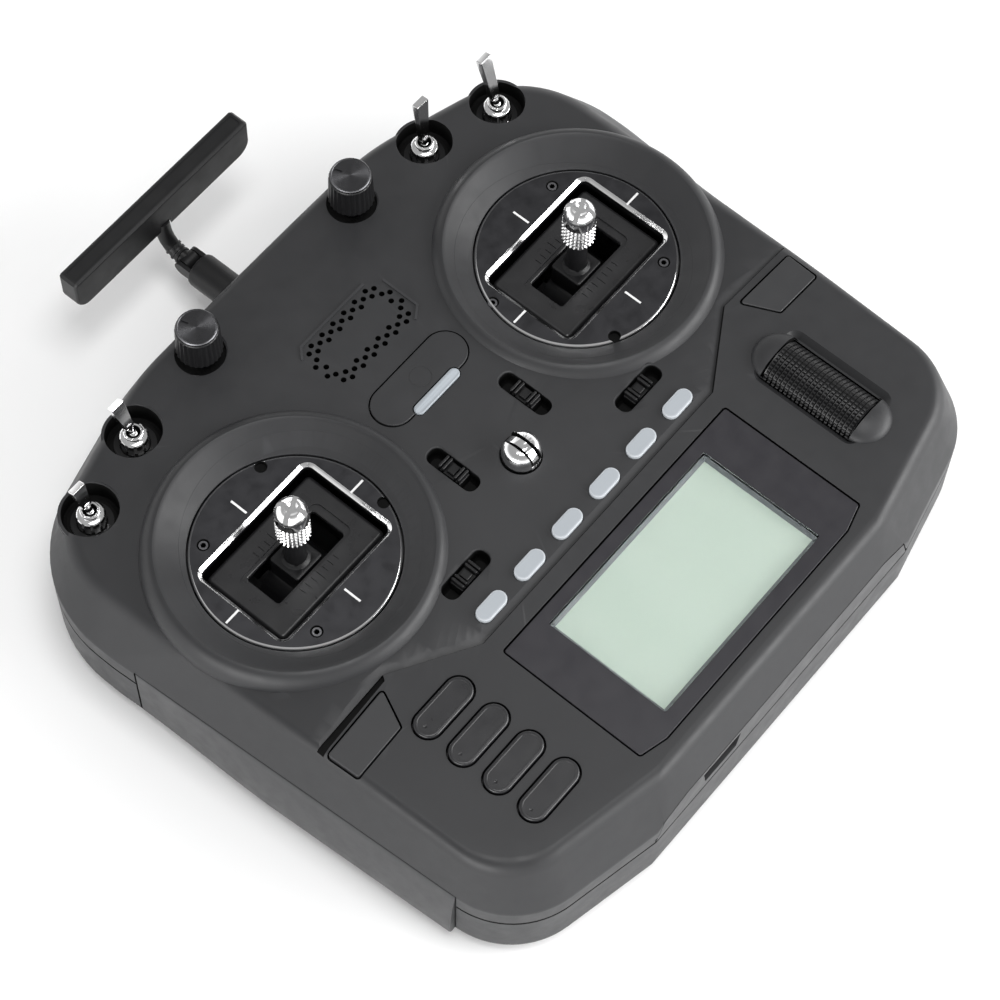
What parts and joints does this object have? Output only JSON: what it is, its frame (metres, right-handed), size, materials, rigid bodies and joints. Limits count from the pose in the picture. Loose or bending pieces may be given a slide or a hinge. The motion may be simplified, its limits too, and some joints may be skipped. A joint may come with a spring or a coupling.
{
  "type": "radio transmitter controller",
  "caption": "Handheld radio-control transmitter with stick gimbals, toggle switches, dials, a roller, keys, trims, a display and a folding antenna.",
  "frame": {"origin": "bottom centre of the bounding box; the rear feet rest on z = 0, with the controls facing up", "axes": "+Z out of the control face, +Y towards the antenna, +X towards the right-hand stick as the user holds it"},
  "size_m": [0.2294, 0.24, 0.0725],
  "materials": {
    "case_plastic": "charcoal, fine matt grain",
    "grip_rubber": "smooth dark grey, slightly rubbery",
    "feet_rubber": "black rubber",
    "gimbal_plate": "dark anodised, polished silver edges",
    "gimbal_plastic": "satin black",
    "stick_plastic": "satin black",
    "polished_metal": "polished, mirror-bright",
    "black_plastic": "satin black",
    "button_grey": "mid grey, pale rim",
    "light_grey": "pale translucent bar",
    "lens_glass": "clear window with a dark border",
    "lcd_grey_green": "pale grey-green reflective display, switched off",
    "board_green": "green circuit board",
    "battery_wrap": "blue shrink wrap"
  },
  "bodies": {
    "case": {"front_shell": "case_plastic", "rear_shell": "case_plastic", "side_grip_left": "grip_rubber", "rear_foot_left": "feet_rubber", "gimbal_plate_left": "gimbal_plate", "gimbal_frame_left": "gimbal_plastic", "dial_pot_left": "polished_metal", "side_grip_right": "grip_rubber", "rear_foot_right": "feet_rubber", "gimbal_plate_right": "gimbal_plate", "gimbal_frame_right": "gimbal_plastic", "dial_pot_right": "polished_metal", "switch_body_a": "polished_metal", "switch_body_b": "polished_metal", "switch_body_c": "polished_metal", "switch_body_d": "polished_metal", "power_light": "light_grey", "strap_hook": "polished_metal", "display_lens": "lens_glass", "lcd_module": "lcd_grey_green", "main_board": "board_green", "speaker": "black_plastic", "port_board": "board_green", "battery_pack": "battery_wrap"},
    "cradle_left": {"gimbal_cradle_left": "gimbal_plastic"},
    "stick_assembly_left": {"stick_left": "stick_plastic", "stick_end_left": "polished_metal"},
    "cradle_right": {"gimbal_cradle_right": "gimbal_plastic"},
    "stick_assembly_right": {"stick_right": "stick_plastic", "stick_end_right": "polished_metal"},
    "lever_a": {"switch_lever_a": "polished_metal"},
    "lever_b": {"switch_lever_b": "polished_metal"},
    "lever_c": {"switch_lever_c": "polished_metal"},
    "lever_d": {"switch_lever_d": "polished_metal"},
    "knob_left": {"dial_knob_left": "black_plastic"},
    "knob_right": {"dial_knob_right": "black_plastic"},
    "roller": {"scroll_roller": "black_plastic"},
    "power": {"power_button": "case_plastic"},
    "shortcut_1": {"shortcut_button_1": "button_grey"},
    "shortcut_2": {"shortcut_button_2": "button_grey"},
    "shortcut_3": {"shortcut_button_3": "button_grey"},
    "shortcut_4": {"shortcut_button_4": "button_grey"},
    "shortcut_5": {"shortcut_button_5": "button_grey"},
    "shortcut_6": {"shortcut_button_6": "button_grey"},
    "menu_1": {"menu_key_1": "case_plastic"},
    "menu_2": {"menu_key_2": "case_plastic"},
    "menu_3": {"menu_key_3": "case_plastic"},
    "menu_4": {"menu_key_4": "case_plastic"},
    "corner_left": {"corner_key_left": "case_plastic"},
    "corner_right": {"corner_key_right": "case_plastic"},
    "trim_left_vertical_rocker": {"trim_left_vertical": "black_plastic"},
    "trim_right_vertical_rocker": {"trim_right_vertical": "black_plastic"},
    "trim_left_horizontal_rocker": {"trim_left_horizontal": "black_plastic"},
    "trim_right_horizontal_rocker": {"trim_right_horizontal": "black_plastic"},
    "port_flap": {"port_cover": "case_plastic"},
    "battery_lid": {"battery_door": "case_plastic"},
    "module_lid": {"module_bay_cover": "case_plastic"},
    "antenna_root": {"antenna_base": "black_plastic"},
    "antenna_blade": {"antenna_neck": "black_plastic", "antenna_bar": "black_plastic"}
  },
  "joints": [
    {"name": "antenna_swivel", "type": "hinge", "parent": "case", "child": "antenna_root", "pos_m": [0, 0.0883, 0.0155], "axis": [0, 1, 0], "range_deg": [-90, 90]},
    {"name": "antenna_tilt", "type": "hinge", "parent": "antenna_root", "child": "antenna_blade", "pos_m": [0, 0.1047, 0.0155], "axis": [1, 0, 0], "range_deg": [-90, 70]},
    {"name": "port_cover_open", "type": "hinge", "parent": "case", "child": "port_flap", "pos_m": [0, -0.1189, 0.0244], "axis": [1, 0, 0], "range_deg": [0, 100]},
    {"name": "battery_door_lift", "type": "slide", "parent": "case", "child": "battery_lid", "axis": [0, 0, -1], "range_m": [0, 0.03]},
    {"name": "module_cover_lift", "type": "slide", "parent": "case", "child": "module_lid", "axis": [0, 0, -1], "range_m": [0, 0.03]},
    {"name": "stick_left_up_down", "type": "hinge", "parent": "case", "child": "cradle_left", "pos_m": [-0.062, 0.006, 0.023], "axis": [1, 0, 0], "range_deg": [-25, 25]},
    {"name": "stick_left_left_right", "type": "hinge", "parent": "cradle_left", "child": "stick_assembly_left", "pos_m": [-0.062, 0.006, 0.023], "axis": [0, 1, 0], "range_deg": [-25, 25], "stiffness_Nm_per_rad": 0.1},
    {"name": "stick_right_up_down", "type": "hinge", "parent": "case", "child": "cradle_right", "pos_m": [0.062, 0.006, 0.023], "axis": [1, 0, 0], "range_deg": [-25, 25], "stiffness_Nm_per_rad": 0.1},
    {"name": "stick_right_left_right", "type": "hinge", "parent": "cradle_right", "child": "stick_assembly_right", "pos_m": [0.062, 0.006, 0.023], "axis": [0, 1, 0], "range_deg": [-25, 25], "stiffness_Nm_per_rad": 0.1},
    {"name": "switch_a_flip", "type": "hinge", "parent": "case", "child": "lever_a", "pos_m": [-0.0891, 0.0586, 0.0424], "axis": [1, 0, 0], "range_deg": [0, 40]},
    {"name": "switch_b_flip", "type": "hinge", "parent": "case", "child": "lever_b", "pos_m": [-0.0636, 0.0655, 0.04385], "axis": [1, 0, 0], "range_deg": [0, 56]},
    {"name": "switch_c_flip", "type": "hinge", "parent": "case", "child": "lever_c", "pos_m": [0.0636, 0.0655, 0.04385], "axis": [1, 0, 0], "range_deg": [-12, 20]},
    {"name": "switch_d_flip", "type": "hinge", "parent": "case", "child": "lever_d", "pos_m": [0.0891, 0.0586, 0.0424], "axis": [1, 0, 0], "range_deg": [0, 32]},
    {"name": "dial_left_turn", "type": "hinge", "parent": "case", "child": "knob_left", "pos_m": [-0.033, 0.0675, 0.055], "axis": [0, 0, 1], "range_deg": [-150, 150]},
    {"name": "dial_right_turn", "type": "hinge", "parent": "case", "child": "knob_right", "pos_m": [0.033, 0.0675, 0.055], "axis": [0, 0, 1], "range_deg": [-150, 150]},
    {"name": "roller_spin", "type": "hinge", "parent": "case", "child": "roller", "pos_m": [0.072, -0.0755, 0.0435], "axis": [0, 1, 0], "continuous": true},
    {"name": "power_button_press", "type": "slide", "parent": "case", "child": "power", "axis": [0, 0, -1], "range_m": [0, 0.0008], "stiffness_N_per_m": 500, "springref_m": -0.0005},
    {"name": "trim_left_vertical_shift", "type": "slide", "parent": "case", "child": "trim_left_vertical_rocker", "axis": [0, 1, 0], "range_m": [-0.0015, 0.0015], "stiffness_N_per_m": 300},
    {"name": "trim_right_vertical_shift", "type": "slide", "parent": "case", "child": "trim_right_vertical_rocker", "axis": [0, 1, 0], "range_m": [-0.0015, 0.0015], "stiffness_N_per_m": 300},
    {"name": "trim_left_horizontal_shift", "type": "slide", "parent": "case", "child": "trim_left_horizontal_rocker", "axis": [1, 0, 0], "range_m": [-0.0015, 0.0015], "stiffness_N_per_m": 300},
    {"name": "trim_right_horizontal_shift", "type": "slide", "parent": "case", "child": "trim_right_horizontal_rocker", "axis": [1, 0, 0], "range_m": [-0.0015, 0.0015], "stiffness_N_per_m": 300},
    {"name": "menu_1_press", "type": "slide", "parent": "case", "child": "menu_1", "axis": [0, 0, -1], "range_m": [0, 0.0008], "stiffness_N_per_m": 500, "springref_m": -0.0005},
    {"name": "menu_2_press", "type": "slide", "parent": "case", "child": "menu_2", "axis": [0, 0, -1], "range_m": [0, 0.0008], "stiffness_N_per_m": 500, "springref_m": -0.0005},
    {"name": "menu_3_press", "type": "slide", "parent": "case", "child": "menu_3", "axis": [0, 0, -1], "range_m": [0, 0.0008], "stiffness_N_per_m": 500, "springref_m": -0.0005},
    {"name": "menu_4_press", "type": "slide", "parent": "case", "child": "menu_4", "axis": [0, 0, -1], "range_m": [0, 0.0008], "stiffness_N_per_m": 500, "springref_m": -0.0005},
    {"name": "corner_left_press", "type": "slide", "parent": "case", "child": "corner_left", "axis": [0, 0, -1], "range_m": [0, 0.0008], "stiffness_N_per_m": 500, "springref_m": -0.0005},
    {"name": "corner_right_press", "type": "slide", "parent": "case", "child": "corner_right", "axis": [0, 0, -1], "range_m": [0, 0.0008], "stiffness_N_per_m": 500, "springref_m": -0.0005},
    {"name": "shortcut_1_press", "type": "slide", "parent": "case", "child": "shortcut_1", "axis": [0, 0, -1], "range_m": [0, 0.0008], "stiffness_N_per_m": 500, "springref_m": -0.0005},
    {"name": "shortcut_2_press", "type": "slide", "parent": "case", "child": "shortcut_2", "axis": [0, 0, -1], "range_m": [0, 0.0008], "stiffness_N_per_m": 500, "springref_m": -0.0005},
    {"name": "shortcut_3_press", "type": "slide", "parent": "case", "child": "shortcut_3", "axis": [0, 0, -1], "range_m": [0, 0.0008], "stiffness_N_per_m": 500, "springref_m": -0.0005},
    {"name": "shortcut_4_press", "type": "slide", "parent": "case", "child": "shortcut_4", "axis": [0, 0, -1], "range_m": [0, 0.0008], "stiffness_N_per_m": 500, "springref_m": -0.0005},
    {"name": "shortcut_5_press", "type": "slide", "parent": "case", "child": "shortcut_5", "axis": [0, 0, -1], "range_m": [0, 0.0008], "stiffness_N_per_m": 500, "springref_m": -0.0005},
    {"name": "shortcut_6_press", "type": "slide", "parent": "case", "child": "shortcut_6", "axis": [0, 0, -1], "range_m": [0, 0.0008], "stiffness_N_per_m": 500, "springref_m": -0.0005}
  ]
}
